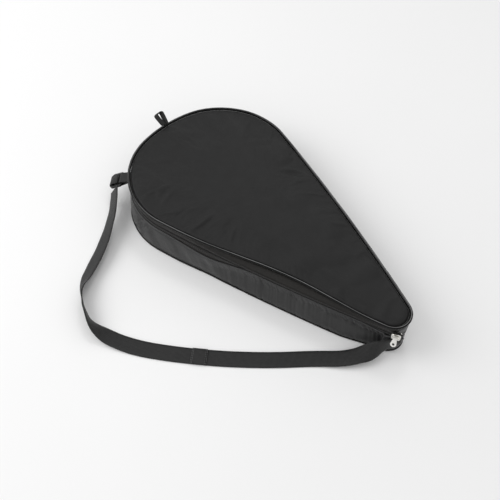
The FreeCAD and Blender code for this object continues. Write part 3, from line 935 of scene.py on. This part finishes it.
def fabric_hinge():
    """One strip from the case to the lid, along the fold."""
    levels = levels_between(GUSSET_TOP + 0.1, SLANT_LOW, 10, GUSSET_INSET)
    strip = wall("hinge_strip", Route(HINGE_RUN), levels, GUSSET_T)
    dress(strip, GUSSET_NYLON, "gusset_nylon", None, "hinge_strip_lower", "hinge_strip_upper")
    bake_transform(strip)


fabric_hinge()


# ---------------------------------------------------------------- fittings

def tape_run(name, points, wide, width, thickness, body, *replaced):
    """A strip of webbing along points, with its width in one fixed direction."""
    points = np.array(points, float)
    ahead = np.gradient(points, axis=0)
    ahead /= np.linalg.norm(ahead, axis=1)[:, None]
    wide = np.array(wide, float) / np.linalg.norm(wide)
    face = np.cross(ahead, wide)
    face /= np.linalg.norm(face, axis=1)[:, None]
    half, edge = width / 2, thickness / 2
    outline = [(half - 0.3, edge), (0, edge), (-half + 0.3, edge), (-half, 0),
               (-half + 0.3, -edge), (0, -edge), (half - 0.3, -edge), (half, 0)]
    sections = np.stack([points + wide * a + face * b for a, b in outline], axis=1)
    strip = section_mesh(name, sections, False, measured(points), [a for a, _ in outline])
    dress(strip, WEBBING, "webbing", body, *replaced)


def hanging_loop():
    """Narrow tape folded into an upright eye, with both ends in the head's seam."""
    low, high = [np.array(corner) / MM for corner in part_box("hanging_loop")]
    root = np.array([high[0] + 2.0, (low[1] + high[1]) / 2, low[2] + 1.0])
    top = np.array([low[0] + 1.0, root[1], high[2] - 1.0])
    rise = top - root
    length = np.linalg.norm(rise)
    rise /= length
    spread = np.array([0.0, 1.0, 0.0])
    steps = 9
    eye_from = length - 4.0  # where the two legs end and the round eye begins
    eye_half, eye_rise = 5.4, 3.0

    def leg(share, sign):
        return root + rise * eye_from * share + sign * spread * (2.0 + 3.4 * share ** 0.6)

    points = [leg(share, -1) for share in np.linspace(0, 1, steps)]
    for turn in np.linspace(0, math.pi, steps)[1:-1]:
        points.append(root + rise * (eye_from + eye_rise * math.sin(turn))
                      - spread * eye_half * math.cos(turn))
    points += [leg(share, 1) for share in np.linspace(1, 0, steps)]
    across = np.cross(rise, spread)
    tape_run("loop_tape", points, across - 1.1 * spread, 8.2, 1.1, "lid", "hanging_loop")


def ring_wrap():
    """The strap's end, folded round the ring's outer bar and sewn to itself."""
    centre = np.array([-246.0, -111.0, 30.0])
    turn = math.radians(221.3)
    droop = 0.46
    out = np.array([math.cos(turn), math.sin(turn), -droop])
    out /= np.linalg.norm(out)
    wide = np.array([-math.sin(turn), math.cos(turn), 0.0])
    up = np.cross(out, wide)
    points = []
    for run, height in ((-3.5, 3.6), (0, 3.9), (4, 4.0), (8, 3.6), (11, 2.4), (12.5, 0.0),
                        (11, -2.4), (8, -3.6), (4, -4.0), (0, -3.9), (-3.5, -3.6)):
        points.append(centre + out * run + up * height)
    tape_run("ring_wrap", points, wide, 19.0, 1.4, "case")


def fittings():
    dress_node("strap_ring", RING, 0.5)
    dress_node("ring_loop", WEBBING, 0.3)
    dress_node("strap_anchor", WEBBING, 0.3)
    hanging_loop()
    ring_wrap()


fittings()


# ---------------------------------------------------------------- floor and light

FLOOR_HALF = 4000.0
WORLD_STRENGTH = 0.78
# Name, place in metres, size and power
LAMPS = (("key", (-1.1, -1.1, 1.4), 1.5, 15), ("rim", (-0.6, 0.9, 1.9), 0.5, 4))


def studio():
    bpy.context.scene.view_settings.view_transform = "Standard"
    corners = [(FLOOR_HALF * x, FLOOR_HALF * y, 0) for x, y in ((-1, -1), (1, -1), (1, 1), (-1, 1))]
    floor = make_object("floor", corners, [(0, 1, 2, 3)])
    m = Nodes("floor", 0.9)
    m.colour(grey(0.86), grey(0.88), m.noise(1.5))
    floor.data.materials.append(m.material)
    world = bpy.data.worlds.new("studio")
    world.use_nodes = True
    background = world.node_tree.nodes["Background"]
    background.inputs["Color"].default_value = (1, 1, 1, 1)
    background.inputs["Strength"].default_value = WORLD_STRENGTH
    bpy.context.scene.world = world
    for name, place, size, energy in LAMPS:
        data = bpy.data.lights.new(name, "AREA")
        data.shape = "DISK"
        data.size = size
        data.energy = energy
        lamp = bpy.data.objects.new(name, data)
        bpy.context.scene.collection.objects.link(lamp)
        lamp.location = place
        lamp.rotation_mode = "QUATERNION"
        lamp.rotation_quaternion = (-Vector(place)).to_track_quat("-Z", "Y")


studio()
